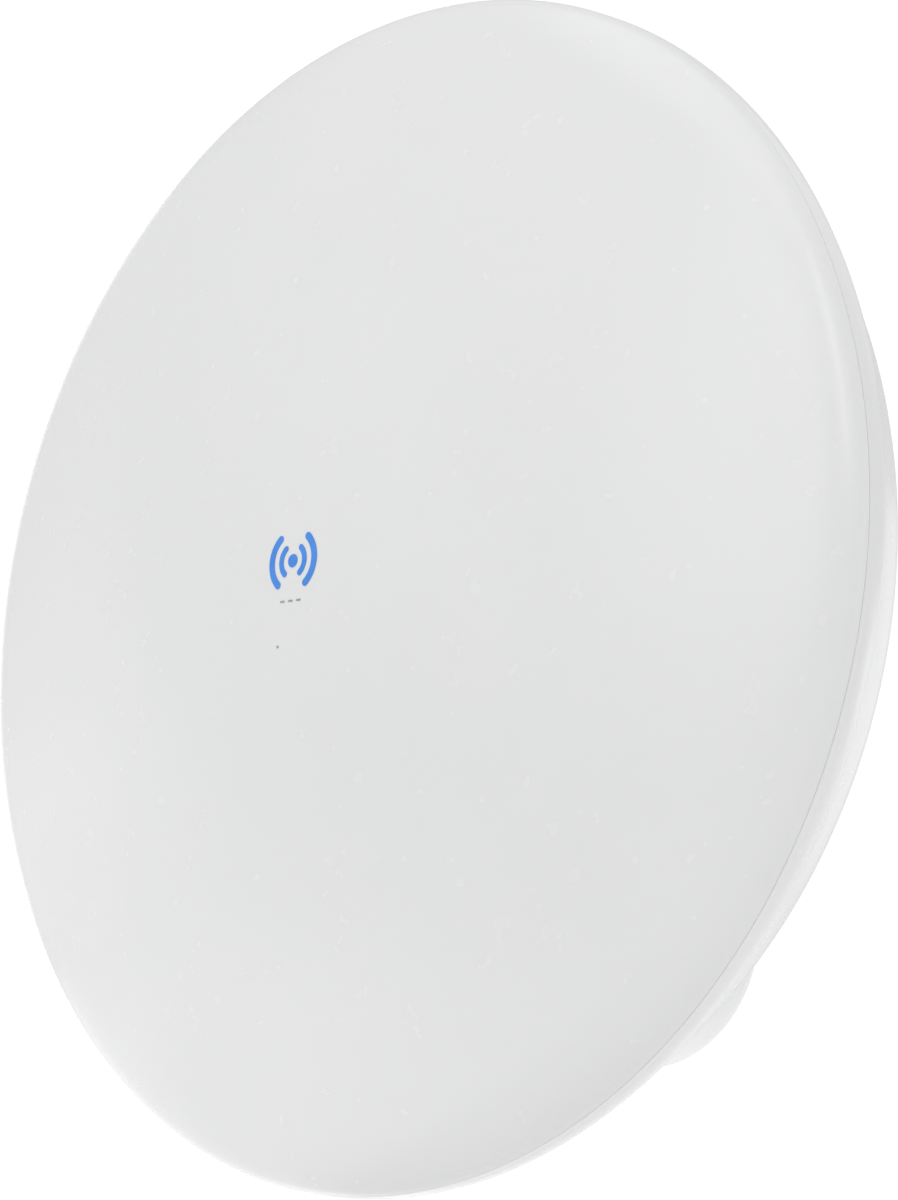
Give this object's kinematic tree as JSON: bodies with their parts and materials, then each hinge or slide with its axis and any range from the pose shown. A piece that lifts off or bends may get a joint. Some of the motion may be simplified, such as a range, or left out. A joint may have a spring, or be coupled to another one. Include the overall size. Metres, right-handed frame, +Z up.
{
  "type": "directional dish radio antenna with mast bracket",
  "caption": "Round dish antenna under a shallow domed radome, with a radio pod, slide-off port cover and a tilting mast bracket with a worm-drive band, for point-to-point radio links.",
  "frame": {"origin": "on the axis of a 50 mm mast, level with the band that holds the bracket to it", "axes": "-Y is the way the radome faces, +Z is up along the mast, +X is to the antenna's own left hand side, right in the front view"},
  "size_m": [0.362, 0.2876, 0.362],
  "materials": {
    "white_housing": "satin UV-stable moulding",
    "black_rubber": "matte",
    "spun_aluminium": "spun, satin",
    "feed_plastic": "satin",
    "circuit_board": "solder mask",
    "tin_plate": "tin plated",
    "thermal_rubber": "matte",
    "patch_ceramic": "fired",
    "light_pipe": "clear",
    "dark_plastic": "matte",
    "painted_bracket": "powder coated, light grey",
    "fastener_steel": "stainless"
  },
  "bodies": {
    "mast_clamp": {"mast_bracket": "painted_bracket", "pivot_bolt": "fastener_steel", "pivot_washer": "fastener_steel", "strap_band": "fastener_steel", "strap_housing": "fastener_steel"},
    "dish_unit": {"front_radome": "white_housing", "radome_seal": "black_rubber", "rear_housing": "white_housing", "reflector": "spun_aluminium", "feed_waveguide": "spun_aluminium", "feed_cone": "feed_plastic", "sub_reflector": "spun_aluminium", "pod_shell": "white_housing", "pod_seal": "black_rubber", "pod_screw_upper_right": "fastener_steel", "pod_screw_upper_left": "fastener_steel", "pod_screw_lower_right": "fastener_steel", "pod_screw_lower_left": "fastener_steel", "radio_board": "circuit_board", "rf_shield_can": "tin_plate", "thermal_pad": "thermal_rubber", "heat_spreader": "spun_aluminium", "ethernet_socket": "tin_plate", "gps_patch": "patch_ceramic", "status_light_pipe": "light_pipe", "reset_switch": "dark_plastic", "tilt_bracket": "painted_bracket", "bracket_screw_upper_right": "fastener_steel", "bracket_screw_upper_left": "fastener_steel", "bracket_screw_lower_right": "fastener_steel", "bracket_screw_lower_left": "fastener_steel", "lock_bolt": "fastener_steel", "lock_washer": "fastener_steel"},
    "cover": {"port_cover": "white_housing", "cable_grommet": "black_rubber"},
    "button": {"reset_button": "dark_plastic"},
    "worm": {"strap_screw": "fastener_steel"},
    "nut_pivot": {"pivot_nut": "fastener_steel"},
    "nut_lock": {"lock_nut": "fastener_steel"}
  },
  "joints": [
    {"name": "elevation_tilt", "type": "hinge", "parent": "mast_clamp", "child": "dish_unit", "pos_m": [0, -0.052, -0.058], "axis": [1, 0, 0], "range_deg": [-20, 20]},
    {"name": "port_cover_slide", "type": "slide", "parent": "dish_unit", "child": "cover", "axis": [0, 0, -1], "range_m": [0, 0.046]},
    {"name": "reset_press", "type": "slide", "parent": "dish_unit", "child": "button", "axis": [0, 0, 1], "range_m": [0, 0.0008], "stiffness_N_per_m": 600},
    {"name": "strap_screw_spin", "type": "hinge", "parent": "mast_clamp", "child": "worm", "pos_m": [-0.02467, 0.0207, 0], "axis": [0.6428, 0.766, 0], "continuous": true},
    {"name": "pivot_nut_turn", "type": "hinge", "parent": "mast_clamp", "child": "nut_pivot", "pos_m": [0.038, -0.052, -0.058], "axis": [1, 0, 0], "range_deg": [0, 360]},
    {"name": "lock_nut_turn", "type": "hinge", "parent": "dish_unit", "child": "nut_lock", "pos_m": [0.038, -0.052, -0.038], "axis": [1, 0, 0], "range_deg": [0, 360]}
  ]
}
